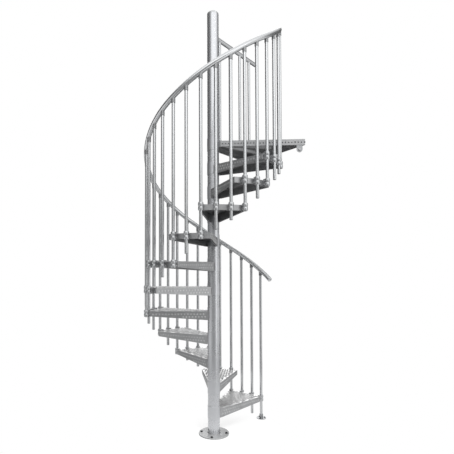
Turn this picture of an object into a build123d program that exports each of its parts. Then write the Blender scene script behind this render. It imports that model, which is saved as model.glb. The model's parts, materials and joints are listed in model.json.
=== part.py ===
from build123d import *
import os
from math import asin, atan, cos, degrees, radians, sin, sqrt

os.makedirs("parts", exist_ok=True)

# Layout of the flight
rise = 210.0
tread_count = 11
treads_per_turn = 13
first_baluster_angle = 38.5
baluster_circle_r = 580.0

# Central column
mast_r = 44.45
mast_wall = 3.2
sleeve_r = 50.8
sleeve_wall = 3.6
hub_r = 53.5
hub_above = 30.0
hub_below = 76.0
hub_clearance = 0.4
newel_height = 1107.0
cap_height = 22.0
cap_edge_r = 14.0
cap_spigot = 30.0
cap_clearance = 0.3

# Base flange
base_r = 130.0
base_thickness = 10.0
base_bolt_circle_r = 108.0
base_bolt_hole_r = 8.0
base_bolt_count = 4
base_bolt_angle = -10.0

# Folded tread pan
sheet = 3.0
rim_setback = 32.0  # rim face to baluster circle
rim_margin = 20.0  # rim past the end brackets
rim_depth = 42.0
flange_root_angle = 60.0  # flange to hub contact, degrees off the centre line
pan_lip = 14.0
pan_corner_r = 6.0
rib_width = 44.0
rib_depth = 24.0
rib_hub_gap = 70.0
rib_rim_gap = 40.0

# Baluster brackets on the rim
eye_wall = 5.0
eye_top = 10.0
eye_height = 58.0
neck_width = 16.0

# Balusters
baluster_r = 12.5
baluster_wall = 2.0
baluster_plug = 6.0

# Handrail
rail_r = 20.0
rail_wall = 2.0
rail_start_z = 1400.0  # rail centre at the first baluster
rail_end_z = 3458.0  # rail centre at the last baluster
rail_start_overhang = 8.0  # degrees before the first baluster
rail_end_overhang = 3.0  # degrees past the last baluster
rail_arc_count = 8
rail_joint = 0.2  # gap between arcs

# Rail clips
clip_wall = 3.0
clip_cup = 16.0
clip_length = 34.0
clip_clearance = 0.3

# Floor foot of the first baluster
foot_r = 44.0
foot_thickness = 6.0
foot_socket = 34.0
foot_hole_r = 4.5
foot_hole_circle_r = 32.0

# Landing
landing_front_length = 797.0
landing_front_angle = -7.0
landing_span_angle = 62.0
landing_side_length = 640.0
landing_heel = 62.0  # start of the front flange beside the hub
landing_depth = 50.0
landing_rib_count = 2
landing_rib_length = 470.0

# Landing guard
guard_angle = 50.0
guard_rail_height = 950.0
guard_post_first_r = 95.0
guard_post_spacing = 155.0
guard_post_count = 4
guard_overhang = 110.0
guard_foot_r = 36.0

# Fixing lug under the landing corner
lug_width = 50.0
lug_drop = 62.0
lug_thickness = 6.0
lug_hole_r = 7.0
lug_x = 738.0
lug_inset = 1.5  # lug behind the front flange's face

# Derived levels and angles
tread_pitch = 360.0 / treads_per_turn
baluster_step = tread_pitch / 2.5
landing_z = rise * (tread_count + 1)
hub_height = hub_above + hub_below
rim_r = baluster_circle_r - rim_setback
eye_r = baluster_r + eye_wall
neck_length = rim_setback + sheet - baluster_r / 2
neck_centre_r = rim_r - sheet + neck_length / 2
tread_half_angle = 1.5 * baluster_step + degrees(rim_margin / rim_r)
newel_base_z = landing_z + hub_above
newel_top_z = newel_base_z + newel_height
last_baluster = (5 * tread_count + 1) // 2
last_baluster_angle = first_baluster_angle + baluster_step * last_baluster
rail_low_angle = first_baluster_angle - rail_start_overhang
rail_high_angle = last_baluster_angle + rail_end_overhang
arc_angle = (rail_high_angle - rail_low_angle) / rail_arc_count
rail_slope = (rail_end_z - rail_start_z) / (last_baluster_angle - first_baluster_angle)

# Each rail arc is bent to a circle in a tilted plane through three points of the helix
arc_half_chord = baluster_circle_r * sin(radians(arc_angle / 2))
arc_tilt = atan(rail_slope * arc_angle / 2 / arc_half_chord)
arc_half_slope = arc_half_chord / cos(arc_tilt)
arc_sagitta = baluster_circle_r * (1 - cos(radians(arc_angle / 2)))
bend_r = (arc_sagitta**2 + arc_half_slope**2) / (2 * arc_sagitta)
bend_half_angle = degrees(asin(arc_half_slope / bend_r))


def first_baluster_of(tread):
    return (5 * (tread - 1) + 1) // 2


def baluster_angle(index):
    return first_baluster_angle + baluster_step * index


def on_circle(radius, angle):
    return (radius * cos(radians(angle)), radius * sin(radians(angle)))


def tread_angle(tread):
    return first_baluster_angle + tread_pitch * (tread - 1) + 1.5 * baluster_step


def arc_middle(angle):
    arc = min(rail_arc_count - 1, int((angle - rail_low_angle) / arc_angle))
    return rail_low_angle + (arc + 0.5) * arc_angle


def helix_z(angle):
    return rail_start_z + rail_slope * (angle - first_baluster_angle)


# Height and gradient of the rail's centre line over a baluster
def rail_z(angle):
    along = baluster_circle_r * sin(radians(angle - arc_middle(angle)))
    return helix_z(arc_middle(angle)) + along * sin(arc_tilt) / cos(arc_tilt)


def rail_gradient(angle):
    return cos(radians(angle - arc_middle(angle))) * sin(arc_tilt) / cos(arc_tilt)


def bracket_foot_z(tread):
    return tread * rise + eye_top - eye_height


# Bottom of a baluster, level with the bracket it ends in or between two such bottoms
def baluster_bottom_z(index):
    tread = max(n for n in range(1, tread_count + 2) if first_baluster_of(n) <= index)
    low = bracket_foot_z(tread - 1) if tread > 1 else bracket_foot_z(1) - rise
    span = first_baluster_of(tread + 1) - first_baluster_of(tread)
    return low + rise * (index - first_baluster_of(tread)) / span


def baluster_top_z(index):
    angle = baluster_angle(index)
    rail_underside = rail_z(angle) - rail_r * sqrt(1 + rail_gradient(angle) ** 2)
    return rail_underside - baluster_r * rail_gradient(angle) - clip_wall


# Base flange with its bolt holes
with BuildPart() as base_flange:
    with BuildSketch():
        Circle(base_r)
        with PolarLocations(base_bolt_circle_r, base_bolt_count, start_angle=base_bolt_angle):
            Circle(base_bolt_hole_r, mode=Mode.SUBTRACT)
    extrude(amount=base_thickness)
    outer_edge = base_flange.edges().group_by(Axis.Z)[-1].sort_by(SortBy.LENGTH)[-1]
    chamfer(outer_edge, 2)
base_flange.part.label = "base_flange"
export_step(base_flange.part, "parts/base_flange.step")

# Inner mast from the base flange to the cap
with BuildPart() as mast_tube:
    with BuildSketch(Plane.XY.offset(base_thickness)):
        Circle(mast_r)
        Circle(mast_r - mast_wall, mode=Mode.SUBTRACT)
    extrude(amount=newel_top_z - cap_spigot - cap_clearance - base_thickness)
mast_tube.part.label = "mast_tube"
export_step(mast_tube.part, "parts/mast_tube.step")

# Spacer sleeves between the tread hubs
with BuildPart() as spacer_sleeves:
    with BuildSketch(Plane.XY.offset(base_thickness)):
        Circle(sleeve_r)
        Circle(sleeve_r - sleeve_wall, mode=Mode.SUBTRACT)
    extrude(amount=rise - hub_below - base_thickness)
    for level in range(1, tread_count + 1):
        with BuildSketch(Plane.XY.offset(level * rise + hub_above)):
            Circle(sleeve_r)
            Circle(sleeve_r - sleeve_wall, mode=Mode.SUBTRACT)
        extrude(amount=rise - hub_height)
spacer_sleeves.part.label = "spacer_sleeves"
export_step(spacer_sleeves.part, "parts/spacer_sleeves.step")

# Newel post above the landing
with BuildPart() as newel_post:
    with BuildSketch(Plane.XY.offset(newel_base_z)):
        Circle(sleeve_r)
        Circle(sleeve_r - sleeve_wall, mode=Mode.SUBTRACT)
    extrude(amount=newel_height)
newel_post.part.label = "newel_post"
export_step(newel_post.part, "parts/newel_post.step")

# Rounded cap that plugs the newel post
with BuildPart() as newel_cap:
    with BuildSketch(Plane.XY.offset(newel_top_z)):
        Circle(sleeve_r)
    extrude(amount=cap_height)
    fillet(newel_cap.edges().group_by(Axis.Z)[-1], cap_edge_r)
    with BuildSketch(Plane.XY.offset(newel_top_z)):
        Circle(sleeve_r - sleeve_wall - cap_clearance)
    extrude(amount=-cap_spigot)
newel_cap.part.label = "newel_cap"
export_step(newel_cap.part, "parts/newel_cap.step")

# Plan outline of a tread, centre line along X
rim_corner = on_circle(rim_r, tread_half_angle)
flange_root = on_circle(hub_r - 1.5, flange_root_angle)
with BuildSketch() as tread_outline:
    with BuildLine():
        Line((flange_root[0], -flange_root[1]), (rim_corner[0], -rim_corner[1]))
        ThreePointArc((rim_corner[0], -rim_corner[1]), (rim_r, 0), rim_corner)
        Line(rim_corner, flange_root)
        Line(flange_root, (flange_root[0], -flange_root[1]))
    make_face()
    fillet(tread_outline.vertices().sort_by(Axis.X)[-2:], pan_corner_r)

# Space inside the pan, under the plate and behind the folded lips
flange_fall = (hub_below - rim_depth) / (rim_r - hub_r)
with BuildPart() as pan_space:
    with BuildSketch(Plane.XY.offset(-sheet)):
        offset(tread_outline.sketch, amount=-sheet, kind=Kind.INTERSECTION)
    extrude(amount=-hub_below)
    with BuildSketch(Plane.XZ):
        Polygon(
            (0, -hub_below + sheet - flange_fall * hub_r),
            (2 * rim_r, -rim_depth + sheet + flange_fall * rim_r),
            (2 * rim_r, -3 * hub_below),
            (0, -3 * hub_below),
            align=None,
        )
    extrude(amount=rim_r, both=True, mode=Mode.SUBTRACT)

# Folded pan: plate, tapering side flanges, rim and lips
with BuildPart() as tread_pan:
    with BuildSketch():
        add(tread_outline.sketch)
    extrude(amount=-hub_below)
    with BuildSketch(Plane.XZ):
        Polygon(
            (0, -hub_below - flange_fall * hub_r),
            (2 * rim_r, -rim_depth + flange_fall * rim_r),
            (2 * rim_r, -3 * hub_below),
            (0, -3 * hub_below),
            align=None,
        )
    extrude(amount=rim_r, both=True, mode=Mode.SUBTRACT)
    add(pan_space.part, mode=Mode.SUBTRACT)
    with BuildSketch(Plane.XY.offset(-sheet)):
        offset(tread_outline.sketch, amount=-pan_lip, kind=Kind.INTERSECTION)
    extrude(amount=-2 * hub_below, mode=Mode.SUBTRACT)
    with BuildSketch(Plane.YZ.offset(rib_hub_gap)):
        with BuildLine():
            Polyline(
                (-rib_width / 2, -sheet / 2),
                (-rib_width / 3, -rib_depth),
                (rib_width / 3, -rib_depth),
                (rib_width / 2, -sheet / 2),
            )
        trace(line_width=sheet)
    extrude(amount=rim_r - rib_rim_gap - rib_hub_gap)
    with BuildSketch(Plane.XY.offset(hub_above)):
        Circle(hub_r)
    extrude(amount=-hub_height)
    with BuildSketch(Plane.XY.offset(hub_above)):
        Circle(mast_r + hub_clearance)
    extrude(amount=-2 * hub_height, mode=Mode.SUBTRACT)


# Treads with their baluster brackets, alternately four and three
for tread in range(1, tread_count + 1):
    eye_count = first_baluster_of(tread + 1) - first_baluster_of(tread) + 1
    eye_start = baluster_angle(first_baluster_of(tread))
    eye_range = baluster_step * (eye_count - 1)
    tread_z = tread * rise
    with BuildPart() as tread_part:
        with Locations(Location((0, 0, tread_z), (0, 0, tread_angle(tread)))):
            add(tread_pan.part)
        with BuildSketch(Plane.XY.offset(tread_z + eye_top)):
            with PolarLocations(
                baluster_circle_r, eye_count, start_angle=eye_start, angular_range=eye_range, endpoint=True
            ):
                Circle(eye_r)
            with PolarLocations(
                neck_centre_r, eye_count, start_angle=eye_start, angular_range=eye_range, endpoint=True
            ):
                Rectangle(neck_length, neck_width)
        extrude(amount=-eye_height)
        with BuildSketch(Plane.XY.offset(tread_z + eye_top)):
            with PolarLocations(
                baluster_circle_r, eye_count, start_angle=eye_start, angular_range=eye_range, endpoint=True
            ):
                Circle(baluster_r)
        extrude(amount=-eye_height, mode=Mode.SUBTRACT)
    tread_part.part.label = f"tread_{tread:02d}"
    export_step(tread_part.part, f"parts/tread_{tread:02d}.step")

# Balusters, one group for each tread they start from
for tread in range(1, tread_count + 1):
    first = first_baluster_of(tread)
    stop = first_baluster_of(tread + 1) + (1 if tread == tread_count else 0)
    with BuildPart() as balusters:
        for index in range(first, stop):
            bottom = baluster_bottom_z(index) if index > 0 else foot_thickness
            height = baluster_top_z(index) - bottom
            with BuildSketch(Plane.XY.offset(bottom)):
                with Locations(on_circle(baluster_circle_r, baluster_angle(index))):
                    Circle(baluster_r)
            extrude(amount=height)
            with BuildSketch(Plane.XY.offset(bottom + baluster_plug)):
                with Locations(on_circle(baluster_circle_r, baluster_angle(index))):
                    Circle(baluster_r - baluster_wall)
            extrude(amount=height - baluster_plug, mode=Mode.SUBTRACT)
    balusters.part.label = f"balusters_{tread:02d}"
    export_step(balusters.part, f"parts/balusters_{tread:02d}.step")

# Floor foot of the first baluster
with BuildPart() as baluster_foot:
    with BuildSketch():
        with Locations(on_circle(baluster_circle_r, first_baluster_angle)):
            Circle(foot_r)
            with PolarLocations(foot_hole_circle_r, 3):
                Circle(foot_hole_r, mode=Mode.SUBTRACT)
    extrude(amount=foot_thickness)
    with BuildSketch(Plane.XY.offset(foot_thickness)):
        with Locations(on_circle(baluster_circle_r, first_baluster_angle)):
            Circle(baluster_r + eye_wall)
            Circle(baluster_r, mode=Mode.SUBTRACT)
    extrude(amount=foot_socket)
baluster_foot.part.label = "baluster_foot"
export_step(baluster_foot.part, "parts/baluster_foot.step")

# Handrail tube in bent arcs laid end to end up the helix
joint_angle = degrees(rail_joint / 2 / bend_r)
with BuildPart() as rail_arc:
    with BuildSketch(Plane.XZ):
        with Locations((bend_r, 0)):
            Circle(rail_r)
            Circle(rail_r - rail_wall, mode=Mode.SUBTRACT)
    revolve(axis=Axis.Z, revolution_arc=2 * bend_half_angle - 2 * joint_angle)
for arc in range(rail_arc_count):
    middle_angle = rail_low_angle + (arc + 0.5) * arc_angle
    bend_plane = Plane(
        origin=(*on_circle(baluster_circle_r - bend_r, middle_angle), helix_z(middle_angle)),
        x_dir=(*on_circle(1, middle_angle), 0),
        z_dir=(*on_circle(sin(arc_tilt), middle_angle - 90), cos(arc_tilt)),
    )
    with BuildPart() as handrail:
        with Locations(bend_plane.location * Location((0, 0, 0), (0, 0, joint_angle - bend_half_angle))):
            add(rail_arc.part)
    handrail.part.label = f"handrail_{arc + 1:02d}"
    export_step(handrail.part, f"parts/handrail_{arc + 1:02d}.step")

# Saddle clips between baluster heads and handrail
with BuildPart() as rail_clips:
    for index in range(0, last_baluster + 1):
        angle = baluster_angle(index)
        head = baluster_top_z(index)
        head_x, head_y = on_circle(baluster_circle_r, angle)
        rail_plane = Plane(
            origin=(head_x, head_y, rail_z(angle)),
            x_dir=(*on_circle(1, angle), 0),
            z_dir=(*on_circle(1, angle + 90), rail_gradient(angle)),
        )
        with BuildSketch(Plane.XY.offset(head - clip_cup)):
            with Locations((head_x, head_y)):
                Circle(baluster_r + clip_wall)
        extrude(amount=rail_z(angle) - head + clip_cup)
        with BuildSketch(Plane.XY.offset(head - clip_cup)):
            with Locations((head_x, head_y)):
                Circle(baluster_r)
        extrude(amount=clip_cup, mode=Mode.SUBTRACT)
        with BuildSketch(rail_plane):
            Circle(rail_r + clip_clearance)
        extrude(amount=clip_length, both=True, mode=Mode.SUBTRACT)
rail_clips.part.label = "rail_clips"
export_step(rail_clips.part, "parts/rail_clips.step")

# Plan outline of the landing
landing_side_angle = landing_front_angle + landing_span_angle
front_root = on_circle(hub_r - 1.5, -flange_root_angle / 2)
front_heel = (landing_heel, -hub_r)
side_root = on_circle(hub_r - 1.5, landing_side_angle + flange_root_angle)
front_corner = on_circle(landing_front_length, landing_front_angle)
side_corner = on_circle(landing_side_length, landing_side_angle)
with BuildSketch() as landing_outline:
    with BuildLine():
        Polyline(front_root, front_heel, front_corner, side_corner, side_root, close=True)
    make_face()
    fillet(landing_outline.vertices().sort_by(Axis.X)[-1], pan_corner_r)
    fillet(landing_outline.vertices().sort_by(Axis.Y)[-1], pan_corner_r)

# Landing pan with folded lips, ribs and hub
with BuildPart() as landing_space:
    with BuildSketch(Plane.XY.offset(landing_z - sheet)):
        offset(landing_outline.sketch, amount=-sheet, kind=Kind.INTERSECTION)
    extrude(amount=-(landing_depth - 2 * sheet))
with BuildPart() as landing:
    with BuildSketch(Plane.XY.offset(landing_z)):
        add(landing_outline.sketch)
    extrude(amount=-landing_depth)
    add(landing_space.part, mode=Mode.SUBTRACT)
    with BuildSketch(Plane.XY.offset(landing_z - sheet)):
        offset(landing_outline.sketch, amount=-pan_lip, kind=Kind.INTERSECTION)
    extrude(amount=-2 * landing_depth, mode=Mode.SUBTRACT)
    for rib in range(landing_rib_count):
        rib_angle = landing_front_angle + landing_span_angle * (rib + 1) / (landing_rib_count + 1)
        rib_plane = Plane(
            origin=(*on_circle(rib_hub_gap, rib_angle), landing_z),
            x_dir=(*on_circle(1, rib_angle + 90), 0),
            z_dir=(*on_circle(1, rib_angle), 0),
        )
        with BuildSketch(rib_plane):
            with BuildLine():
                Polyline(
                    (-rib_width / 2, -sheet / 2),
                    (-rib_width / 3, -rib_depth),
                    (rib_width / 3, -rib_depth),
                    (rib_width / 2, -sheet / 2),
                )
            trace(line_width=sheet)
        extrude(amount=landing_rib_length)
    with BuildSketch(Plane.XY.offset(landing_z + hub_above)):
        Circle(hub_r)
    extrude(amount=-hub_height)
    with BuildSketch(Plane.XY.offset(landing_z + hub_above)):
        Circle(mast_r + hub_clearance)
    extrude(amount=-2 * hub_height, mode=Mode.SUBTRACT)
landing.part.label = "landing"
export_step(landing.part, "parts/landing.step")

# Posts of the landing guard, coped to the rail above them
guard_rail_z = landing_z + guard_rail_height
guard_end_r = guard_post_first_r + guard_post_spacing * (guard_post_count - 1)
guard_plane = Plane(origin=(0, 0, guard_rail_z), z_dir=(*on_circle(1, guard_angle), 0))
with BuildPart() as guard_posts:
    for post in range(guard_post_count):
        post_place = on_circle(guard_post_first_r + post * guard_post_spacing, guard_angle)
        with BuildSketch(Plane.XY.offset(landing_z + foot_thickness)):
            with Locations(post_place):
                Circle(baluster_r)
        extrude(amount=guard_rail_height - foot_thickness)
        with BuildSketch(Plane.XY.offset(landing_z + foot_thickness)):
            with Locations(post_place):
                Circle(baluster_r - baluster_wall)
        extrude(amount=guard_rail_height - foot_thickness, mode=Mode.SUBTRACT)
    with BuildSketch(guard_plane):
        Circle(rail_r)
    extrude(amount=guard_end_r + guard_overhang, mode=Mode.SUBTRACT)
guard_posts.part.label = "guard_posts"
export_step(guard_posts.part, "parts/guard_posts.step")

# Feet of the guard posts
with BuildPart() as guard_feet:
    for post in range(guard_post_count):
        post_place = on_circle(guard_post_first_r + post * guard_post_spacing, guard_angle)
        with BuildSketch(Plane.XY.offset(landing_z)):
            with Locations(post_place):
                Circle(guard_foot_r)
        extrude(amount=foot_thickness)
        with BuildSketch(Plane.XY.offset(landing_z + foot_thickness)):
            with Locations(post_place):
                Circle(baluster_r + eye_wall)
                Circle(baluster_r, mode=Mode.SUBTRACT)
        extrude(amount=foot_socket)
guard_feet.part.label = "guard_feet"
export_step(guard_feet.part, "parts/guard_feet.step")

# Level guard rail from the newel to past the last post
with BuildPart() as guard_rail:
    with BuildSketch(guard_plane):
        Circle(rail_r)
        Circle(rail_r - rail_wall, mode=Mode.SUBTRACT)
    extrude(amount=guard_end_r + guard_overhang)
    with BuildSketch(Plane.XY.offset(landing_z)):
        Circle(sleeve_r)
    extrude(amount=2 * guard_rail_height, mode=Mode.SUBTRACT)
guard_rail.part.label = "guard_rail"
export_step(guard_rail.part, "parts/guard_rail.step")

# Fixing lug on the front lip near the corner of the landing
front_slope = (front_corner[1] - front_heel[1]) / (front_corner[0] - front_heel[0])
lug_face_y = front_heel[1] + front_slope * (lug_x - lug_width / 2 - landing_heel) + lug_inset
with BuildPart() as landing_lug:
    with BuildSketch(Plane.XZ.offset(-lug_face_y - lug_thickness)):
        with Locations((lug_x, landing_z - landing_depth - lug_drop + lug_width / 2)):
            Circle(lug_width / 2)
            with Locations((0, lug_drop / 2 - lug_width / 4)):
                Rectangle(lug_width, lug_drop - lug_width / 2)
            Circle(lug_hole_r, mode=Mode.SUBTRACT)
    extrude(amount=lug_thickness)
landing_lug.part.label = "landing_lug"
export_step(landing_lug.part, "parts/landing_lug.step")
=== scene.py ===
import json
from math import ceil, degrees, pi, radians

import bmesh
import bpy
import numpy as np
from mathutils import Matrix, Vector


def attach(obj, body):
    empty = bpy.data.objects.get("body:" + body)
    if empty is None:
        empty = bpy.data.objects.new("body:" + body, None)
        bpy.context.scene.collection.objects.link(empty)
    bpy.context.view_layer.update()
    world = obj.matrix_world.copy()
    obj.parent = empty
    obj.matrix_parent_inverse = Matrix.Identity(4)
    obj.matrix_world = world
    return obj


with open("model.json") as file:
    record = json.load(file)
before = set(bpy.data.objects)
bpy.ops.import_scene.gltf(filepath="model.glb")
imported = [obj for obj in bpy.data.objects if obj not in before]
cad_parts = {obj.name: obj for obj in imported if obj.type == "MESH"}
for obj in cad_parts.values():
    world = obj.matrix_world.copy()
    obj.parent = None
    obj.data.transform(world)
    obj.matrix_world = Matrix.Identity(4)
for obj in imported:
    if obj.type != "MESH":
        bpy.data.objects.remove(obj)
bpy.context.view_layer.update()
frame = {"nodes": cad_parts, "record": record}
record = frame["record"]
print("frame loaded:", len(frame["nodes"]), "nodes")

# the flight's own layout, in metres and degrees, as the solids have it
flight = {
    "rise": 0.210,
    "treads": 11,
    "pitch": 360 / 13,
    "tubesPerTread": 2.5,
    "firstTube": 38.5,
    "tubeCircle": 0.580,
    "tubeRadius": 0.0125,
    "hubRadius": 0.0535,
    "hubBelow": 0.076,
    "cornerInset": 0.0015,  # a flange starts this far inside the hub's skin
    "cornerAngle": 60,  # and this far round it from the tread's centre line
    "columnRadius": 0.0508,
    "rimRadius": 0.548,
    "rimDepth": 0.042,
    "rimMargin": 0.020,
    "eyeTop": 0.010,
    "eyeHeight": 0.058,
}
flight["tubeStep"] = flight["pitch"] / flight["tubesPerTread"]
landingLevel = flight["rise"] * (flight["treads"] + 1)


def onCircle(radius, angle):  # point at a radius and an angle in degrees, for one or many of either
    turn = np.radians(angle)
    return np.stack([radius * np.cos(turn), radius * np.sin(turn)], -1)


def treadAngle(tread):  # a tread's centre line, in degrees
    return flight["firstTube"] + flight["pitch"] * (tread - 1) + 1.5 * flight["tubeStep"]


def firstTubeOf(tread):  # the first tube that stands in this tread's brackets
    return ceil(flight["tubesPerTread"] * (tread - 1))


def tubeAngle(index):
    return flight["firstTube"] + flight["tubeStep"] * index


def tubeBottom(index):  # the lower end of a tube: its bracket's foot, or a share of a rise above it
    tread = max(n for n in range(1, flight["treads"] + 2) if firstTubeOf(n) <= index)
    foot = (tread - 1 if tread > 1 else 0) * flight["rise"] + flight["eyeTop"] - flight["eyeHeight"]
    span = firstTubeOf(tread + 1) - firstTubeOf(tread)
    return foot + flight["rise"] * (index - firstTubeOf(tread)) / span


# mesh helpers
def buildPiece(name, points, faces, material, smoothAngle=35, values=None):
    # points are places in any nesting, faces are lists of indexes; closed shells get outward faces
    mesh = bpy.data.meshes.new(name)
    mesh.from_pydata(np.asarray(points, float).reshape(-1, 3).tolist(), [], faces)
    # values are a painted shade for each point, dark in holes and grooves
    if values is not None:
        layer = mesh.attributes.new("paintedShade", "FLOAT", "POINT")
        layer.data.foreach_set("value", np.asarray(values, np.float32))
    piece = bpy.data.objects.new(name, mesh)
    bpy.context.scene.collection.objects.link(piece)
    shell = bmesh.new()
    shell.from_mesh(mesh)
    bmesh.ops.recalc_face_normals(shell, faces=shell.faces)
    shell.to_mesh(mesh)
    shell.free()
    mesh.shade_smooth()
    mesh.set_sharp_from_angle(angle=radians(smoothAngle))
    mesh.materials.append(material)
    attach(piece, "root")


def gridFaces(copies, rows, columns, closedRows=False):
    # quads between neighbouring rings of each copy; open rows end in one face over the first and last ring
    first = (np.arange(copies) * rows * columns)[:, None, None]
    row = np.arange(rows if closedRows else rows - 1)[None, :, None]
    column = np.arange(columns)[None, None, :]
    after = (column + 1) % columns
    below = (row + 1) % rows
    corners = [row * columns + column, row * columns + after,
               below * columns + after, below * columns + column]
    quads = np.stack([first + corner for corner in corners], -1).reshape(-1, 4).tolist()
    if closedRows:
        return quads
    ring = np.arange(columns)
    starts = first[:, :, 0]
    return quads + np.concatenate([starts + ring, starts + (rows - 1) * columns + ring]).tolist()


def turned(profile, segments):
    # point = (radius cos a, radius sin a, height), radius and height from the profile, a round the axis
    profile = np.asarray(profile, float)
    around = 2 * pi * np.arange(segments) / segments
    radius, height = profile[:, :1], profile[:, 1:]
    return np.stack([radius * np.cos(around), radius * np.sin(around), height + 0 * around], -1)


def placed(shape, origins, xAxes, yAxes, zAxes):
    # each copy = origin + x of the shape times its x axis, and so on, for all copies at once
    frames = (origins, xAxes, yAxes, zAxes)
    origins, xAxes, yAxes, zAxes = [np.asarray(rows, float)[:, None, None] for rows in frames]
    return origins + shape[..., :1] * xAxes + shape[..., 1:2] * yAxes + shape[..., 2:] * zAxes


def upright(shape, origins, angles):
    # copies standing on +Z, each turned about Z by its own angle in degrees
    flat = np.zeros((len(origins), 1))
    xAxes = np.concatenate([onCircle(1, angles), flat], 1)
    yAxes = np.concatenate([onCircle(1, angles + 90), flat], 1)
    return placed(shape, origins, xAxes, yAxes, np.tile([0, 0, 1.0], (len(origins), 1)))


def joined(parts):
    # several (points, faces) pairs as one
    points, faces, start = [], [], 0
    for somePoints, someFaces in parts:
        somePoints = np.asarray(somePoints).reshape(-1, 3)
        points.append(somePoints)
        faces += [[start + i for i in face] for face in someFaces]
        start += len(somePoints)
    return np.concatenate(points), faces


def copiesOf(shapes):  # the points and faces of many copies of a closed turned shape
    return shapes, gridFaces(*shapes.shape[:3])


# shader helpers
def addNode(tree, kind, sockets=None, **options):
    # one node with its options; each socket takes a value, or another node's output
    node = tree.nodes.new(kind)
    for option, value in options.items():
        setattr(node, option, value)
    for socket, value in (sockets or {}).items():
        if isinstance(value, bpy.types.NodeSocket):
            tree.links.new(value, node.inputs[socket])
        else:
            node.inputs[socket].default_value = value
    return node


def ranged(tree, value, low, high, toLow=0.0, toHigh=1.0, **options):
    # the value brought from low..high to toLow..toHigh, and held there outside of it
    sockets = {0: value, 1: low, 2: high, 3: toLow, 4: toHigh}
    return addNode(tree, "ShaderNodeMapRange", sockets, **options).outputs[0]


def worked(tree, operation, *values):  # one sum of Blender's Math node
    return addNode(tree, "ShaderNodeMath", dict(enumerate(values)), operation=operation).outputs[0]


def blendValues(tree, factor, first, second):
    return addNode(tree, "ShaderNodeMix", {0: factor, 2: first, 3: second}).outputs[0]


def blendColours(tree, factor, first, second):  # first and second are colours or sockets
    first, second = [(*c, 1.0) if isinstance(c, tuple) else c for c in (first, second)]
    return addNode(tree, "ShaderNodeMix", {0: factor, 6: first, 7: second}, data_type="RGBA").outputs[2]


def noiseAt(tree, place, scale, detail, roughness=0.5):
    sockets = {"Vector": place, "Scale": scale, "Detail": detail, "Roughness": roughness}
    return addNode(tree, "ShaderNodeTexNoise", sockets)


def newGroup(name, inputs, outputs):
    # a shader node group with named number inputs and outputs
    group = bpy.data.node_groups.new(name, "ShaderNodeTree")
    for label, value in inputs.items():
        socket = group.interface.new_socket(label, in_out="INPUT", socket_type="NodeSocketFloat")
        socket.default_value = value
    for label in outputs:
        group.interface.new_socket(label, in_out="OUTPUT", socket_type="NodeSocketFloat")
    return group, group.nodes.new("NodeGroupInput"), group.nodes.new("NodeGroupOutput")


def useGroup(tree, group, **values):
    node = addNode(tree, "ShaderNodeGroup", node_tree=group)
    for label, value in values.items():
        node.inputs[label].default_value = value
    return node


spangle = {
    "cells": 90.0, "grain": 0.35,  # crystals to the metre, and how much the fine grain counts
    "bendScale": 45.0, "bend": 0.006,  # how the crystals' outlines wander
    "grainScale": 420.0, "waveScale": 30.0,
}


def makeSpangle():
    # zinc crystals: each cell of a Voronoi pattern has its own grey, with a fine grain over them
    group, given, out = newGroup("zincSpangle", {"Cells": spangle["cells"], "Grain": spangle["grain"]},
                                 ["Flake", "Height"])
    place = addNode(group, "ShaderNodeTexCoord").outputs["Object"]
    bend = noiseAt(group, place, spangle["bendScale"], 2.0).outputs["Color"]
    offset = addNode(group, "ShaderNodeVectorMath", {0: bend, 1: (spangle["bend"],) * 3},
                     operation="MULTIPLY")
    moved = addNode(group, "ShaderNodeVectorMath", {0: place, 1: offset.outputs[0]}, operation="ADD")
    cells = addNode(group, "ShaderNodeTexVoronoi", {"Vector": moved.outputs[0],
                                                    "Scale": given.outputs["Cells"]})
    grey = addNode(group, "ShaderNodeSeparateColor", {0: cells.outputs["Color"]})
    grain = noiseAt(group, place, spangle["grainScale"], 3.0)
    flake = blendValues(group, given.outputs["Grain"], grey.outputs[0], grain.outputs["Fac"])
    waves = noiseAt(group, place, spangle["waveScale"], 1.0)
    group.links.new(flake, out.inputs["Flake"])
    group.links.new(waves.outputs["Fac"], out.inputs["Height"])
    return group


runs = {"width": 55.0, "length": 3.0, "cloudScale": 6.0, "cloudShare": 0.45, "low": 0.3, "high": 0.7}


def makeRuns():
    # where the zinc ran down as it cooled: noise drawn out along Z, and broad clouds over it
    group, given, out = newGroup("zincRuns", {"Width": runs["width"], "Length": runs["length"]}, ["Runs"])
    place = addNode(group, "ShaderNodeTexCoord").outputs["Object"]
    width, length = given.outputs["Width"], given.outputs["Length"]
    scale = addNode(group, "ShaderNodeCombineXYZ", {0: width, 1: width, 2: length})
    drawn = addNode(group, "ShaderNodeVectorMath", {0: place, 1: scale.outputs[0]}, operation="MULTIPLY")
    streaks = noiseAt(group, drawn.outputs[0], 1.0, 4.0, 0.6)
    clouds = noiseAt(group, place, runs["cloudScale"], 3.0)
    mixed = blendValues(group, runs["cloudShare"], streaks.outputs["Fac"], clouds.outputs["Fac"])
    group.links.new(ranged(group, mixed, runs["low"], runs["high"]), out.inputs["Runs"])
    return group


scuffsAndPaintedLight = {
    "blotches": 42.0, "share": 0.5,
    "slope": (0.6, 0.95),  # from here up or down, a face counts as the sheet's top, which gets a painted light, or its underside, which gets a painted shade
    "edge": (0.50, 0.56),
}


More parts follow.
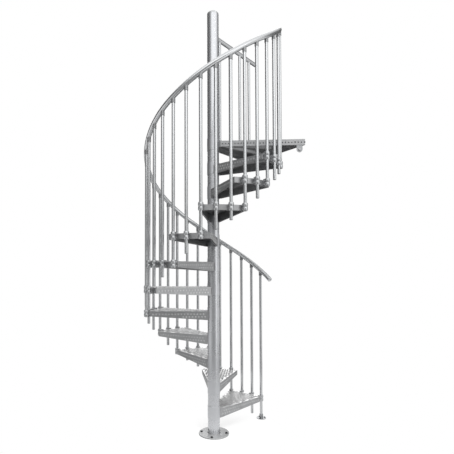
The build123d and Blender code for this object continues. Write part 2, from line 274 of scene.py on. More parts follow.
def makeScuffsAndPaintedLight():
    # tells a sheet's top from its underside by how far it looks up or down, for a painted light on the top
    # and a painted shade on the underside; wears blotches into the top
    group, given, out = newGroup("treadScuffsAndPaintedLight", {"Blotches": scuffsAndPaintedLight["blotches"], "Share": scuffsAndPaintedLight["share"]},
                                 ["Top", "Under", "Scuff"])
    place = addNode(group, "ShaderNodeTexCoord").outputs["Object"]
    normal = addNode(group, "ShaderNodeNewGeometry").outputs["Normal"]
    height = addNode(group, "ShaderNodeSeparateXYZ", {0: normal}).outputs[2]
    top = ranged(group, height, *scuffsAndPaintedLight["slope"])
    under = ranged(group, height, *[-slope for slope in scuffsAndPaintedLight["slope"]])
    blotches = noiseAt(group, place, given.outputs["Blotches"], 4.0, 0.75)
    worn = worked(group, "MULTIPLY", top, ranged(group, blotches.outputs["Fac"], *scuffsAndPaintedLight["edge"]))
    group.links.new(top, out.inputs["Top"])
    group.links.new(under, out.inputs["Under"])
    group.links.new(worked(group, "MULTIPLY", worn, given.outputs["Share"]), out.inputs["Scuff"])
    return group


spangleGroup, runsGroup, scuffAndPaintedLightGroup = makeSpangle(), makeRuns(), makeScuffsAndPaintedLight()
# the painted light of a sheet's top, the painted shade of its underside and of holes and grooves, and the
# darker grey of scuffs
paintedLightShadeAndWearTones = {"top": (0.90, 0.90, 0.90), "under": (0.22, 0.22, 0.225), "scuff": (0.14, 0.14, 0.145),
              "paintedShade": (0.07, 0.07, 0.073)}
hubCore = {"colour": (0.575, 0.585, 0.605), "metallic": 0.85, "roughness": 0.28, "edge": (0.0545, 0.0540)}
zinc = {"runBlend": 0.45, "relief": 0.0003}


def galvanised(name, dark, light, roughness, metallic, cells=90.0, runShare=0.35, scuff=0.0, hollowShade=False,
               bump=0.10, core=None, spread=0.02):
    # zinc: dark to light grey by crystal, dimmed along the runs, duller where it is scuffed; where scuffs are
    # asked for, also a painted light on faces that look up and a painted shade on faces that look down; and a
    # painted shade in holes and grooves
    material = bpy.data.materials.new(name)
    material.use_nodes = True
    tree = material.node_tree
    shader = tree.nodes["Principled BSDF"]
    crystals = useGroup(tree, spangleGroup, Cells=cells)
    streaks = useGroup(tree, runsGroup)
    grey = blendColours(tree, crystals.outputs["Flake"], dark, light)
    dimmer = blendColours(tree, streaks.outputs["Runs"], tuple(c * (1 - runShare) for c in light), light)
    colour = blendColours(tree, zinc["runBlend"], grey, dimmer)
    rough = ranged(tree, crystals.outputs["Flake"], 0.0, 1.0, roughness - spread, roughness + spread)
    if core:  # the hub round the column takes the column's own finish
        place = addNode(tree, "ShaderNodeTexCoord").outputs["Object"]
        flat = addNode(tree, "ShaderNodeVectorMath", {0: place, 1: (1.0, 1.0, 0.0)}, operation="MULTIPLY")
        reach = addNode(tree, "ShaderNodeVectorMath", {0: flat.outputs[0]}, operation="LENGTH")
        inner = ranged(tree, reach.outputs["Value"], *core["edge"])
        colour = blendColours(tree, inner, colour, core["colour"])
        rough = blendValues(tree, inner, rough, core["roughness"])
        tree.links.new(ranged(tree, inner, 0.0, 1.0, metallic, core["metallic"]), shader.inputs["Metallic"])
    else:
        shader.inputs["Metallic"].default_value = metallic
    # scuffs, with a painted light on faces that look up and a painted shade on faces that look down
    if scuff:
        marks = useGroup(tree, scuffAndPaintedLightGroup, Share=scuff)
        for mark in ("Top", "Under", "Scuff"):
            colour = blendColours(tree, marks.outputs[mark], colour, paintedLightShadeAndWearTones[mark.lower()])
    # painted shade in the holes of the pips and in the clamps' groove
    if hollowShade:
        paintedShade = addNode(tree, "ShaderNodeAttribute", attribute_name="paintedShade").outputs["Fac"]
        colour = blendColours(tree, paintedShade, colour, paintedLightShadeAndWearTones["paintedShade"])
    tree.links.new(colour, shader.inputs["Base Color"])
    tree.links.new(rough, shader.inputs["Roughness"])
    relief = addNode(tree, "ShaderNodeBump", {"Strength": bump, "Distance": zinc["relief"],
                                              "Height": crystals.outputs["Height"]})
    tree.links.new(relief.outputs[0], shader.inputs["Normal"])
    return material


def plainFinish(name, dark, light, roughness, metallic, grain=300.0, bump=0.2, spread=0.08, relief=0.0004):
    # dull zinc, bolts and welds: two close greys by a fine noise, which also roughens them
    material = bpy.data.materials.new(name)
    material.use_nodes = True
    tree = material.node_tree
    shader = tree.nodes["Principled BSDF"]
    place = addNode(tree, "ShaderNodeTexCoord").outputs["Object"]
    noise = noiseAt(tree, place, grain, 3.0).outputs["Fac"]
    rough = ranged(tree, noise, 0.0, 1.0, roughness - spread, roughness + spread)
    height = addNode(tree, "ShaderNodeBump", {"Strength": bump, "Distance": relief, "Height": noise})
    tree.links.new(blendColours(tree, noise, dark, light), shader.inputs["Base Color"])
    tree.links.new(rough, shader.inputs["Roughness"])
    tree.links.new(height.outputs[0], shader.inputs["Normal"])
    shader.inputs["Metallic"].default_value = metallic
    return material


finishes = {
    "galvanised_column": galvanised("zincColumn", (0.52, 0.53, 0.55), (0.63, 0.64, 0.66), 0.28, 0.85,
                                    runShare=0.15, bump=0.03),
    # the treads' sheet has the scuffs with their painted light on top and painted shade underneath
    "galvanised_tread": galvanised("zincSheet", (0.30, 0.305, 0.315), (0.49, 0.495, 0.50), 0.40, 0.88,
                                   cells=110.0, scuff=0.8, bump=0.2, core=hubCore, spread=0.06),
    "galvanised_tube": galvanised("zincTube", (0.54, 0.55, 0.56), (0.62, 0.63, 0.64), 0.22, 0.92,
                                  cells=130.0, runShare=0.10, bump=0.03),
    "galvanised_rail": galvanised("zincRail", (0.56, 0.57, 0.58), (0.66, 0.67, 0.68), 0.22, 0.92,
                                  cells=110.0, runShare=0.10, bump=0.03),
    "galvanised_fitting": galvanised("zincFitting", (0.28, 0.29, 0.30), (0.44, 0.45, 0.46), 0.34, 0.8,
                                     cells=140.0),
    "clip_dark": plainFinish("dullZinc", (0.22, 0.225, 0.23), (0.34, 0.345, 0.35), 0.38, 0.75),
    "cap_grey": galvanised("zincCap", (0.40, 0.41, 0.42), (0.56, 0.57, 0.58), 0.34, 0.75),
}
# the pips take the scuffs' painted light and shade, and a painted shade in their holes
pipFinish = galvanised("zincPips", (0.43, 0.435, 0.44), (0.74, 0.745, 0.75), 0.40, 0.85, cells=160.0,
                       scuff=0.8, hollowShade=True)
# the clamps take a painted shade in the groove between their halves
clampFinish = galvanised("zincClamp", (0.36, 0.37, 0.38), (0.62, 0.63, 0.64), 0.28, 0.85, cells=160.0,
                         hollowShade=True)
blackFinish = plainFinish("blackenedBolt", (0.02, 0.02, 0.022), (0.05, 0.05, 0.052), 0.42, 0.6)
boltFinish = plainFinish("brightBolt", (0.42, 0.42, 0.43), (0.60, 0.60, 0.61), 0.30, 0.9)
weldFinish = plainFinish("weldBead", (0.30, 0.30, 0.31), (0.52, 0.52, 0.53), 0.45, 0.7, grain=500.0,
                         bump=0.5)
# the floor plate lies flat under the light, so it is duller than the upright column of its slot, and its
# darker grey is a painted shade
shadedPlateFinish = galvanised("zincPlateShaded", (0.38, 0.385, 0.39), (0.52, 0.525, 0.53), 0.46, 0.60, cells=110.0,
                         bump=0.05)

for part in record["subparts"]:
    mesh = frame["nodes"][part["node"]].data
    mesh.materials.clear()
    mesh.materials.append(shadedPlateFinish if part["node"] == "base_flange" else finishes[part["material_slot"]])
print("finishes on", len(record["subparts"]), "nodes")

# raised pattern of the treads and the landing
pips = {
    "spacing": 0.027,
    "rowShare": 0.87,  # the rows stand closer than the pips in a row
    "edgeGap": 0.013,
    "flangeShare": 0.8,  # of that gap is left on a flange
    "profile": [(0.0116, -0.0006), (0.0104, 0.0012), (0.0087, 0.0018), (0.0078, 0.0014), (0.0030, 0.0009)],
    "paintedShade": [0.0, 0.0, 0.0, 1.0, 1.0],  # painted shade on each ring of the profile: the hole's inner rings are dark
    "frontShare": 0.72,  # smaller holes in the landing's front flange
    "studProfile": [(0.0078, -0.0006), (0.0066, 0.0012), (0.0044, 0.0019), (0.0014, 0.0021)],
    "segments": 8,
    "rimPoints": 13,
    "flangeStart": 0.022,
    "hubShare": 0.98,
}
pipShape = turned(pips["profile"], pips["segments"])
pipPaintedShade = np.repeat(pips["paintedShade"], pips["segments"])
frontShape = pipShape * (pips["frontShare"], pips["frontShare"], 1.0)
studShape = turned(pips["studProfile"], pips["segments"])


def lattice(low, high):
    # staggered grid: every second row moves by half a spacing
    rows = np.arange(low[1], high[1], pips["spacing"] * pips["rowShare"])
    columns = np.arange(low[0], high[0], pips["spacing"])
    x = columns[None, :] + (np.arange(len(rows)) % 2)[:, None] * pips["spacing"] / 2
    return np.stack([x, rows[:, None] + 0 * x], -1).reshape(-1, 2)


def insideOf(corners, places, margin):
    # true where a place is at least margin inside every side of a convex outline drawn counter-clockwise
    sides = np.roll(corners, -1, 0) - corners
    sides = sides / np.linalg.norm(sides, axis=1)[:, None]
    gap = places[:, None, :] - corners[None]
    return (sides[None, :, 0] * gap[..., 1] - sides[None, :, 1] * gap[..., 0]).min(1) > margin


def fieldOn(shape, origin, across, along, corners, margin, keep=None):
    # copies of a shape on a flat face, which has an origin and two unit directions;
    # the outline's corners are counted in those two directions, and keep says which places stay
    corners = np.asarray(corners, float)
    places = lattice(corners.min(0), corners.max(0))
    places = places[insideOf(corners, places, margin)]
    if keep is not None:
        places = places[keep(places)]
    spots = np.asarray(origin) + places[:, :1] * np.asarray(across) + places[:, 1:] * np.asarray(along)
    axes = [np.tile(axis, (len(spots), 1)) for axis in (across, along, np.cross(across, along))]
    return placed(shape, spots, *axes)


def clearOfHub(places):
    return np.hypot(*places.T) > flight["hubRadius"] + pips["edgeGap"]


def treadPips(tread):
    # holes on the top inside its outline, and studs on both flanges, which taper from the hub to the rim
    angle, level = treadAngle(tread), tread * flight["rise"]
    ahead = np.array([*onCircle(1, angle), 0])
    left = np.array([*onCircle(1, angle + 90), 0])
    root = onCircle(flight["hubRadius"] - flight["cornerInset"], flight["cornerAngle"])
    rimHalf = 1.5 * flight["tubeStep"] + degrees(flight["rimMargin"] / flight["rimRadius"])
    rim = onCircle(flight["rimRadius"], np.linspace(-rimHalf, rimHalf, pips["rimPoints"]))
    outline = [(root[0], -root[1]), *rim, (root[0], root[1])]
    holes = fieldOn(pipShape, (0, 0, level), ahead, left, outline, pips["edgeGap"], clearOfHub)
    studs = []
    fall = (flight["hubBelow"] - flight["rimDepth"]) / (flight["rimRadius"] - flight["hubRadius"])
    lowHub = -flight["hubBelow"] - fall * (root[0] - flight["hubRadius"])
    for side in (-1, 1):
        start, end = np.array([root[0], side * root[1]]), np.array([rim[-1][0], side * rim[-1][1]])
        length = np.linalg.norm(end - start)
        run = (end - start) / length
        along = run[0] * ahead + run[1] * left
        face = [(pips["flangeStart"], lowHub * pips["hubShare"]), (length, -flight["rimDepth"]), (length, 0),
                (pips["flangeStart"], 0)]
        if side > 0:  # seen from outside, this flange runs from the rim to the hub
            face = [(-x, z) for x, z in reversed(face)]
            along = -along
        origin = start[0] * ahead + start[1] * left + (0, 0, level)
        margin = pips["edgeGap"] * pips["flangeShare"]
        studs.append(fieldOn(studShape, origin, along, (0, 0, 1.0), face, margin))
    return holes, np.concatenate(studs)


def addPips(name, holes, studs):
    points, faces = joined([copiesOf(holes), copiesOf(studs)])
    # the holes' inner rings get the painted shade, the studs none
    paintedShade = np.concatenate([np.tile(pipPaintedShade, len(holes)), np.zeros(studs.size // 3)])
    buildPiece(name, points, faces, pipFinish, 50, paintedShade)


for tread in range(1, flight["treads"] + 1):
    addPips(f"treadPips_{tread:02d}", *treadPips(tread))

# the landing's corners are given by radius and angle, its heel by x and y
landing = {"front": (0.797, -7), "side": (0.640, 55), "heel": (0.062, -0.0535), "depth": 0.050,
           "flangeStart": 0.004}
guard = {"angle": 50, "posts": 4, "first": 0.095, "spacing": 0.155, "foot": 0.036, "clear": 0.012,
         "railHeight": 0.950, "overhang": 0.110}
frontCorner, sideCorner = onCircle(*landing["front"]), onCircle(*landing["side"])
guardSpots = onCircle(guard["first"] + guard["spacing"] * np.arange(guard["posts"]), guard["angle"])


def clearOfGuard(places):
    gap = np.linalg.norm(places[:, None] - guardSpots[None], axis=2).min(1)
    return (gap > guard["foot"] + guard["clear"]) & clearOfHub(places)


def landingFlange(shape, start, end, first):
    # the pattern on an upright flange of the landing, from one corner to the next
    run = np.asarray(end) - np.asarray(start)
    length = np.linalg.norm(run)
    face = [(first, -landing["depth"]), (length, -landing["depth"]), (length, 0), (first, 0)]
    return fieldOn(shape, (*start, landingLevel), (*(run / length), 0), (0, 0, 1.0), face,
                   pips["edgeGap"] * pips["flangeShare"])


sideRoot = onCircle(flight["hubRadius"] - flight["cornerInset"], landing["side"][1] + flight["cornerAngle"])
topField = fieldOn(pipShape, (0, 0, landingLevel), (1.0, 0, 0), (0, 1.0, 0),
                   [landing["heel"], frontCorner, sideCorner, sideRoot], pips["edgeGap"], clearOfGuard)
frontField = landingFlange(frontShape, landing["heel"], frontCorner, landing["flangeStart"])
sideField = landingFlange(studShape, frontCorner, sideCorner, 0)
addPips("landingPips", np.concatenate([topField, frontField]), sideField)
print("raised pattern done")

# two-part clamps over the brackets, with their bolts
clamps = {
    "radius": 0.0172, "lobe": 0.0030, "lobeRings": 6,
    "blunt": 0.02,  # the lobes' ends are cut off at this share, so that they keep some radius
    "groove": 0.0016, "grooveSwell": 0.0007, "grooveEdge": 0.0002,
    "overlap": 0.0008, "sunk": 0.0002, "segments": 20,
}


def clampProfile():
    # two lobes, each the root of a half sine swelling out of the bracket, with a painted shade in the groove
    # between them
    height = flight["eyeHeight"] + 2 * clamps["overlap"]
    lobe = (height - clamps["groove"]) / 2
    swell = np.linspace(0, 1, clamps["lobeRings"])
    bulge = clamps["radius"] + clamps["lobe"] * np.sqrt(np.sin(pi * np.clip(swell, clamps["blunt"],
                                                                            1 - clamps["blunt"])))
    upper = np.stack([bulge, -lobe * swell], -1)
    lower = upper - (0, lobe + clamps["groove"])
    grooveRadius = clamps["radius"] + clamps["grooveSwell"]
    groove = [(grooveRadius, -lobe - clamps["grooveEdge"]),
              (grooveRadius, -lobe - clamps["groove"] + clamps["grooveEdge"])]
    inner = flight["tubeRadius"] - clamps["sunk"]
    profile = np.concatenate([[(inner, 0)], upper, groove, lower, [(inner, -height)]])
    # the groove's rings get the painted shade
    paintedShade = np.zeros(len(profile))
    paintedShade[clamps["lobeRings"] + 1:clamps["lobeRings"] + 3] = 1.0
    return profile, paintedShade


brackets = [(tread, index) for tread in range(1, flight["treads"] + 1)
            for index in range(firstTubeOf(tread), firstTubeOf(tread + 1) + 1)]
bracketTreads, bracketTubes = np.array(brackets).T
bracketAngles = tubeAngle(bracketTubes)
bracketLevels = (bracketTreads * flight["rise"] + flight["eyeTop"])[:, None]
profile, clampPaintedShade = clampProfile()
tops = np.concatenate([onCircle(flight["tubeCircle"], bracketAngles), bracketLevels + clamps["overlap"]], 1)
points, faces = copiesOf(upright(turned(profile, clamps["segments"]), tops, bracketAngles))
buildPiece("tubeClamps", points, faces, clampFinish, 40,
           np.tile(np.repeat(clampPaintedShade, clamps["segments"]), len(brackets)))

bolts = {
    "size": {"across": 0.0065, "head": 0.0055, "washer": 0.0080, "washerThick": 0.0016},
    "shoulder": 0.8, "top": 0.86,  # shares of a head's height and radius where its top edge is drawn in
    "washerSunk": 0.0002, "washerTop": 0.93, "washerSegments": 16,
    "neckHalf": 0.0080, "inwards": 0.0250, "levels": (-0.0145, -0.0435),
}


def boltsAt(origins, xAxes, yAxes, zAxes, across, head, washer, washerThick):
    # a round washer, then a hexagon head from inside it; both start at each origin and rise along its z axis
    hexagon = [(across, washerThick * 0.5), (across, washerThick + head * bolts["shoulder"]),
               (across * bolts["top"], washerThick + head)]
    disc = [(washer, -bolts["washerSunk"]), (washer, washerThick * bolts["shoulder"]),
            (washer * bolts["washerTop"], washerThick)]
    return [copiesOf(placed(turned(profile, segments), origins, xAxes, yAxes, zAxes))
            for profile, segments in ((disc, bolts["washerSegments"]), (hexagon, 6))]


flat = np.zeros((len(brackets), 1))
radial = np.concatenate([onCircle(1, bracketAngles), flat], 1)
sideways = np.concatenate([onCircle(1, bracketAngles + 90), flat], 1)
vertical = np.tile([0, 0, 1.0], (len(brackets), 1))
boltParts = []
for level in bolts["levels"]:
    centre = np.concatenate([onCircle(flight["tubeCircle"] - bolts["inwards"], bracketAngles),
                             bracketLevels + level], 1)
    offset = sideways * bolts["neckHalf"]
    boltParts += boltsAt(centre + offset, radial, vertical, sideways, **bolts["size"])
    boltParts += boltsAt(centre - offset, vertical, radial, -sideways, **bolts["size"])
points, faces = joined(boltParts)
buildPiece("clampBolts", points, faces, boltFinish, 30)

# plugs in the lower ends of the tubes; the profile is in shares of the radius, and heights
plug = {"radius": 0.0122, "segments": 16,
        "profile": [(1.0, 0.0005), (1.0, -0.0012), (0.9, -0.0027), (0.6, -0.0037), (0.2, -0.0040)]}
lastTube = firstTubeOf(flight["treads"] + 1)
indexes = np.arange(1, lastTube + 1)
bottoms = np.array([tubeBottom(index) for index in indexes])
plugSpots = np.concatenate([onCircle(flight["tubeCircle"], tubeAngle(indexes)), bottoms[:, None]], 1)
plugShape = turned(np.array(plug["profile"]) * (plug["radius"], 1.0), plug["segments"])
points, faces = copiesOf(upright(plugShape, plugSpots, tubeAngle(indexes)))
buildPiece("tubePlugs", points, faces, finishes["clip_dark"], 50)
print("clamps, bolts and plugs done")

# weld beads where the flanges and tops meet the hubs, and where the column meets its plate
weld = {
    "radius": 0.0042, "ripple": 0.12, "ripplePitch": 0.0055, "around": 8, "endShare": 0.45,
    "standOff": 0.001, "lift": 0.0005,
    "seamAngle": 59, "seamFacing": 75, "seamGap": 0.004, "seamSteps": 54,
    "topHalf": 57, "topSteps": 80, "landingArc": (-28, 112), "landingSteps": 96,
    "footLevel": 0.0105, "footSteps": 120,
}


def beads(paths, outwards, closed=False):
    # a tube along each path whose radius swells once per ripple pitch; outwards is the joint's open side
    paths, outwards = np.asarray(paths, float), np.asarray(outwards, float)
    ahead = np.roll(paths, -1, 1) - np.roll(paths, 1, 1)
    if not closed:
        ahead[:, 0], ahead[:, -1] = paths[:, 1] - paths[:, 0], paths[:, -1] - paths[:, -2]
    ahead /= np.linalg.norm(ahead, axis=2)[..., None]
    outwards = outwards - (outwards * ahead).sum(2)[..., None] * ahead
    outwards /= np.linalg.norm(outwards, axis=2)[..., None]
    third = np.cross(ahead, outwards)
    steps = np.linalg.norm(np.diff(paths, axis=1), axis=2)
    run = np.concatenate([np.zeros((len(paths), 1)), np.cumsum(steps, 1)], 1)
    radius = weld["radius"] * (1 + weld["ripple"] * np.sin(2 * pi * run / weld["ripplePitch"]))
    if not closed:
        radius[:, [0, -1]] *= weld["endShare"]
    turn = 2 * pi * np.arange(weld["around"])[:, None] / weld["around"]
    rings = np.cos(turn) * outwards[:, :, None] + np.sin(turn) * third[:, :, None]
    shape = paths[:, :, None] + radius[..., None, None] * rings
    return shape, gridFaces(*shape.shape[:3], closedRows=closed)


def arcPath(radius, sweep, level):
    # a level arc, and its open side, which is outwards and up
    path = np.concatenate([onCircle(radius, sweep), np.full((len(sweep), 1), level)], 1)
    return path, np.concatenate([onCircle(1, sweep), np.ones((len(sweep), 1))], 1)


def seamPath(tread, side):
    # an upright line beside the flange's root, and its open side, away from the flange
    angle, level = treadAngle(tread), tread * flight["rise"]
    heights = np.linspace(level - weld["seamGap"], level - flight["hubBelow"] + weld["seamGap"],
                          weld["seamSteps"])
    spot = onCircle(beadRadius, angle + side * weld["seamAngle"])
    facing = [*onCircle(1, angle + side * weld["seamFacing"]), 0]
    path = np.concatenate([np.tile(spot, (len(heights), 1)), heights[:, None]], 1)
    return path, np.tile(facing, (len(heights), 1))


beadRadius = flight["hubRadius"] + weld["standOff"]
treadNumbers = range(1, flight["treads"] + 1)
seams = [seamPath(tread, side) for tread in treadNumbers for side in (-1, 1)]
topSweep = np.linspace(-weld["topHalf"], weld["topHalf"], weld["topSteps"])
tops = [arcPath(beadRadius, treadAngle(tread) + topSweep, tread * flight["rise"] + weld["lift"])
        for tread in treadNumbers]
landingRing = arcPath(beadRadius, np.linspace(*weld["landingArc"], weld["landingSteps"]),
                      landingLevel + weld["lift"])
footRing = arcPath(flight["columnRadius"] + weld["standOff"],
                   360 / weld["footSteps"] * np.arange(weld["footSteps"]), weld["footLevel"])
points, faces = joined([
    beads(*zip(*seams)),
    beads(*zip(*tops)),
    beads(*zip(landingRing)),
    beads(*zip(footRing), closed=True),
])
buildPiece("weldBeads", points, faces, weldFinish, 60)

# fixings of the base, the feet and the lug; a head's profile is in shares of its radius
fixings = {
    "base": {"circle": 0.108, "angle": -10, "top": 0.010, "head": 0.0115, "screws": 4},
    "foot": {"circle": 0.032, "angle": 0, "top": 0.006, "head": 0.0075, "screws": 3},
    "guard": {"circle": 0.0275, "angle": guard["angle"] + 60, "top": 0.006, "head": 0.0055, "screws": 3},
    "headProfile": [(1.0, -0.05), (1.0, 0.10), (0.93, 0.34), (0.72, 0.56), (0.46, 0.66), (0.42, 0.30),
                    (0.12, 0.28)],
    "headSegments": 18,
    "lug": (0.738, -0.09096, 2.433),
    "lugBolt": {"across": 0.0105, "head": 0.0080, "washer": 0.0125, "washerThick": 0.0025},
}


def screwsRound(centre, level, circle, angle, top, head, screws):
    # button heads with a socket, evenly round a centre on the plate's top
    spots = np.asarray(centre) + onCircle(circle, angle + 360 / screws * np.arange(screws))
    spots = np.concatenate([spots, np.full((screws, 1), level + top)], 1)
    shape = turned(np.array(fixings["headProfile"]) * head, fixings["headSegments"])
    return copiesOf(upright(shape, spots, np.zeros(screws)))


points, faces = joined([
    screwsRound((0, 0), 0, **fixings["base"]),
    screwsRound(onCircle(flight["tubeCircle"], flight["firstTube"]), 0, **fixings["foot"]),
    *[screwsRound(spot, landingLevel, **fixings["guard"]) for spot in guardSpots],
])
buildPiece("anchorScrews", points, faces, blackFinish, 40)
points, faces = joined(boltsAt([fixings["lug"]], [(1.0, 0, 0)], [(0, 0, 1.0)], [(0, -1.0, 0)],
                               **fixings["lugBolt"]))
buildPiece("lugBolt", points, faces, boltFinish, 30)

# the handrail's lower end, which goes on past the first arc of the solids, and the rails' end plugs
rail = {
    "startLevel": 1.400, "endLevel": 3.458, "before": 8.0, "after": 3.0, "longer": 5.5, "overlap": 0.02,
    "radius": 0.020, "segments": 28, "steps": 6,
    "plugProfile": [(0.0196, -0.004), (0.0196, 0.0006), (0.0180, 0.0026), (0.0120, 0.0040), (0.002, 0.0045)],
}
railSlope = (rail["endLevel"] - rail["startLevel"]) / (tubeAngle(lastTube) - tubeAngle(0))
solidStart = tubeAngle(0) - rail["before"]
railEnds = [solidStart - rail["longer"], tubeAngle(lastTube) + rail["after"]]


def railPoint(angle):  # on the handrail's centre line, a helix
    level = rail["startLevel"] + railSlope * (angle - tubeAngle(0))
    return np.array([*onCircle(flight["tubeCircle"], angle), level])


def railWay(angle):  # the unit direction in which the helix climbs
    way = np.array([*(flight["tubeCircle"] * onCircle(1, angle + 90)), railSlope / radians(1)])
    return way / np.linalg.norm(way)


def railRing(angle):
    # a circle square to the helix at one angle, in the rail's own radius
    outwards = np.array([*onCircle(1, angle), 0])
    upwards = np.cross(outwards, railWay(angle))
    turn = 2 * pi * np.arange(rail["segments"])[:, None] / rail["segments"]
    return railPoint(angle) + rail["radius"] * (np.cos(turn) * outwards + np.sin(turn) * upwards)


lowerAngles = np.linspace(solidStart - rail["overlap"], railEnds[0], rail["steps"])
buildPiece("railLowerEnd", [railRing(angle) for angle in lowerAngles],
           gridFaces(1, rail["steps"], rail["segments"]), finishes["galvanised_rail"], 40)
guardEnd = guard["first"] + guard["spacing"] * (guard["posts"] - 1) + guard["overhang"]
plugSpots = [*map(railPoint, railEnds),
             [*onCircle(guardEnd, guard["angle"]), landingLevel + guard["railHeight"]]]
zAxes = np.array([-railWay(railEnds[0]), railWay(railEnds[1]), [*onCircle(1, guard["angle"]), 0]])
xAxes = np.cross([0, 0, 1.0], zAxes)
xAxes /= np.linalg.norm(xAxes, axis=1)[:, None]
plugShape = turned(rail["plugProfile"], rail["segments"])
points, faces = copiesOf(placed(plugShape, plugSpots, xAxes, np.cross(zAxes, xAxes), zAxes))
buildPiece("railPlugs", points, faces, finishes["galvanised_rail"], 40)
print("welds, fixings and rail ends done")

# floor and room
studio = {
    "floorRadius": 2.8, "floorDrop": 0.0004, "floorSegments": 96,
    "floorTone": 0.95, "floorToneForLight": 0.05,
    # round the column the floor is partly matt, for the shadow
    "fadeStart": 0.12, "fadeEnd": 0.6, "fadeShare": 0.70,
    "mirrorStart": 1.6, "mirrorEnd": 2.6, "mirrorNear": 0.85, "mirrorFar": 0.15,
    "groundLight": 0.03, "groundDepth": -0.25, "horizonLight": 0.12, "skyLight": 2.2, "skyHeight": 0.9,
    # what metal mirrors, by the way it faces round the column: -180 is behind, 0 the camera, 90 the right
    "nearTones": {-180: 0.05, -145: 0.35, -115: 1.05, -75: 1.05, -50: 0.92, -30: 0.44, -10: 0.32, 12: 0.34,
                  38: 0.48, 46: 1.35, 58: 1.35, 72: 0.75, 95: 0.75, 120: 0.65, 150: 0.20, 180: 0.05},
    "lowTones": {-180: 1.40, -168: 1.20, -160: 0.10, -140: 0.12, -75: 0.38, -50: 0.46, -30: 0.28, -10: 0.26,
                 12: 0.34, 38: 0.50, 46: 1.70, 58: 1.70, 72: 0.75, 95: 0.95, 120: 0.95, 150: 0.20, 160: 0.14,
                 168: 1.20, 180: 1.40},
    "highTones": {-180: 2.0, -168: 1.80, -160: 0.08, -90: 0.06, -62: 0.15, -42: 0.60, -24: 1.75, 55: 1.60,
                  85: 0.90, 110: 0.15, 160: 0.08, 168: 1.80, 180: 2.0},
    "bandTilt": 0.10,  # the bands between these tones stand lower behind the stair than before it
    "bandNear": -0.16, "bandFar": -0.08, "bandLow": 0.06, "bandHigh": 0.22,
    "overheadLow": 0.6, "overheadHigh": 0.85,
}
floorMesh = bpy.data.meshes.new("floor")
ring = onCircle(studio["floorRadius"], 360 / studio["floorSegments"] * np.arange(studio["floorSegments"]))
ring = np.concatenate([ring, np.full((len(ring), 1), -studio["floorDrop"])], 1)
floorMesh.from_pydata(ring.tolist(), [], [list(range(len(ring)))])
floor = bpy.data.objects.new("floor", floorMesh)
bpy.context.scene.collection.objects.link(floor)
floorFinish = bpy.data.materials.new("paleFloor")
floorFinish.use_nodes = True
tree = floorFinish.node_tree
tree.nodes.clear()
place = addNode(tree, "ShaderNodeTexCoord").outputs["Object"]
reach = addNode(tree, "ShaderNodeVectorMath", {0: place}, operation="LENGTH").outputs["Value"]
fade = ranged(tree, reach, studio["fadeStart"], studio["fadeEnd"], studio["fadeShare"],
              interpolation_type="SMOOTHSTEP")
path = addNode(tree, "ShaderNodeLightPath").outputs
seen = worked(tree, "MAXIMUM", path["Is Camera Ray"], path["Is Glossy Ray"])
seen = worked(tree, "MAXIMUM", seen, path["Is Transmission Ray"])
tone = blendColours(tree, seen, (studio["floorToneForLight"],) * 3, (studio["floorTone"],) * 3)
matt = addNode(tree, "ShaderNodeBsdfDiffuse", {"Color": tone})
mirrored = ranged(tree, reach, studio["mirrorStart"], studio["mirrorEnd"], studio["mirrorNear"],
                  studio["mirrorFar"])
strength = blendValues(tree, path["Is Glossy Ray"], 1.0, mirrored)
glow = addNode(tree, "ShaderNodeEmission", {"Strength": strength})
both = addNode(tree, "ShaderNodeMixShader", {0: worked(tree, "MULTIPLY", fade, seen), 1: matt.outputs[0],
                                             2: glow.outputs[0]})
addNode(tree, "ShaderNodeOutputMaterial", {0: both.outputs[0]})
floorMesh.materials.append(floorFinish)

world = bpy.data.worlds.new("studioWorld")
bpy.context.scene.world = world
world.use_nodes = True
tree = world.node_tree
tree.nodes.clear()
path = addNode(tree, "ShaderNodeLightPath").outputs
direction = addNode(tree, "ShaderNodeSeparateXYZ",
                    {0: addNode(tree, "ShaderNodeTexCoord").outputs["Generated"]}).outputs
facing = worked(tree, "ARCTAN2", direction[0], worked(tree, "MULTIPLY", direction[1], -1.0))
around = ranged(tree, facing, -pi, pi)
tilted = worked(tree, "MULTIPLY_ADD", direction[1], studio["bandTilt"], direction[2])


def toneRing(tones):
    # how bright the room is round the column, by the angle from the camera's side
    ramp = addNode(tree, "ShaderNodeValToRGB", {0: around})
    stops = ramp.color_ramp.elements
    stops.remove(stops[1])
    for number, (angle, tone) in enumerate(tones.items()):
        stop = stops[0] if number == 0 else stops.new((angle + 180) / 360)
        stop.position, stop.color = (angle + 180) / 360, (tone, tone, tone, 1.0)
    return ramp.outputs[0]


upper = ranged(tree, tilted, studio["bandLow"], studio["bandHigh"])
distant = ranged(tree, tilted, studio["bandNear"], studio["bandFar"])
tones = blendValues(tree, upper, toneRing(studio["lowTones"]), toneRing(studio["highTones"]))
tones = blendValues(tree, distant, toneRing(studio["nearTones"]), tones)
overhead = ranged(tree, direction[2], studio["overheadLow"], studio["overheadHigh"])
tones = blendValues(tree, overhead, tones, 1.0)
sky = ranged(tree, direction[2], 0.0, studio["skyHeight"], studio["horizonLight"], studio["skyLight"])
sky = blendValues(tree, ranged(tree, direction[2], studio["groundDepth"], 0.0), studio["groundLight"], sky)
even = blendValues(tree, path["Is Glossy Ray"], sky, tones)
lit = addNode(tree, "ShaderNodeBackground", {"Strength": even})
white = addNode(tree, "ShaderNodeBackground", {"Strength": 1.0})
for plain in (lit, white):
    plain.inputs["Color"].default_value = (1, 1, 1, 1)
seen = worked(tree, "MAXIMUM", path["Is Camera Ray"], path["Is Transmission Ray"])
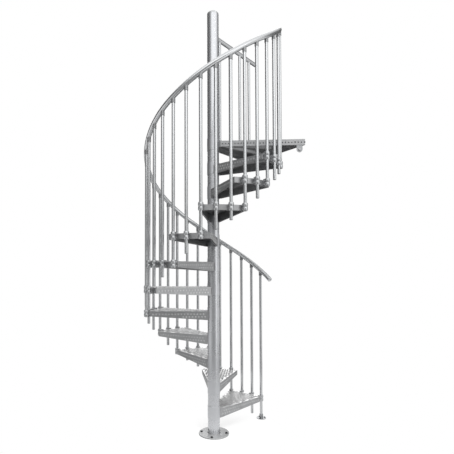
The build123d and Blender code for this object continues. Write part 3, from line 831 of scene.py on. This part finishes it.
both = addNode(tree, "ShaderNodeMixShader", {0: seen, 1: lit.outputs[0], 2: white.outputs[0]})
addNode(tree, "ShaderNodeOutputWorld", {0: both.outputs[0]})

lamps = {
    "keyLamp": {"place": (1.8, -2.6, 5.2), "target": (0, 0, 1.4), "size": (1.4, 1.4), "power": 150},
    "fillLamp": {"place": (-2.6, -3.2, 4.4), "target": (0, 0, 1.6), "size": (1.6, 1.6), "power": 20},
    "backLamp": {"place": (-2.4, 3.4, 4.0), "target": (0, 0, 1.8), "size": (1.6, 1.6), "power": 30},
}
for name, lamp in lamps.items():
    light = bpy.data.lights.new(name, "AREA")
    light.shape = "RECTANGLE"
    light.size, light.size_y = lamp["size"]
    light.energy = lamp["power"]
    holder = bpy.data.objects.new(name, light)
    bpy.context.scene.collection.objects.link(holder)
    holder.location = lamp["place"]
    holder.visible_glossy = False  # metal mirrors the room, not the lamps
    aim = Vector(lamp["target"]) - Vector(lamp["place"])
    holder.rotation_euler = aim.to_track_quat("-Z", "Y").to_euler()
print("floor, room and lamps done")

# the camera that the photo was fitted with; pitch and roll are in radians, the centre is in its pixels
camera = {"focalPixels": 406.26, "imagePixels": 454, "sensor": 36.0, "place": (-0.0495, -3.5335, 1.4141),
          "pitch": 0.03182, "roll": -0.00223, "centre": (207.78, 255.72)}
eye = bpy.data.cameras.new("photoCamera")
eye.sensor_width = camera["sensor"]
eye.lens = camera["focalPixels"] * camera["sensor"] / camera["imagePixels"]
eye.shift_x = (camera["imagePixels"] / 2 - camera["centre"][0]) / camera["imagePixels"]
eye.shift_y = (camera["centre"][1] - camera["imagePixels"] / 2) / camera["imagePixels"]
viewer = bpy.data.objects.new("photoCamera", eye)
bpy.context.scene.collection.objects.link(viewer)
viewer.matrix_world = (Matrix.Translation(camera["place"]) @ Matrix.Rotation(pi / 2 + camera["pitch"], 4, "X")
                       @ Matrix.Rotation(camera["roll"], 4, "Z"))
bpy.context.scene.camera = viewer
bpy.context.scene.view_settings.view_transform = "Standard"

print("scene ready")
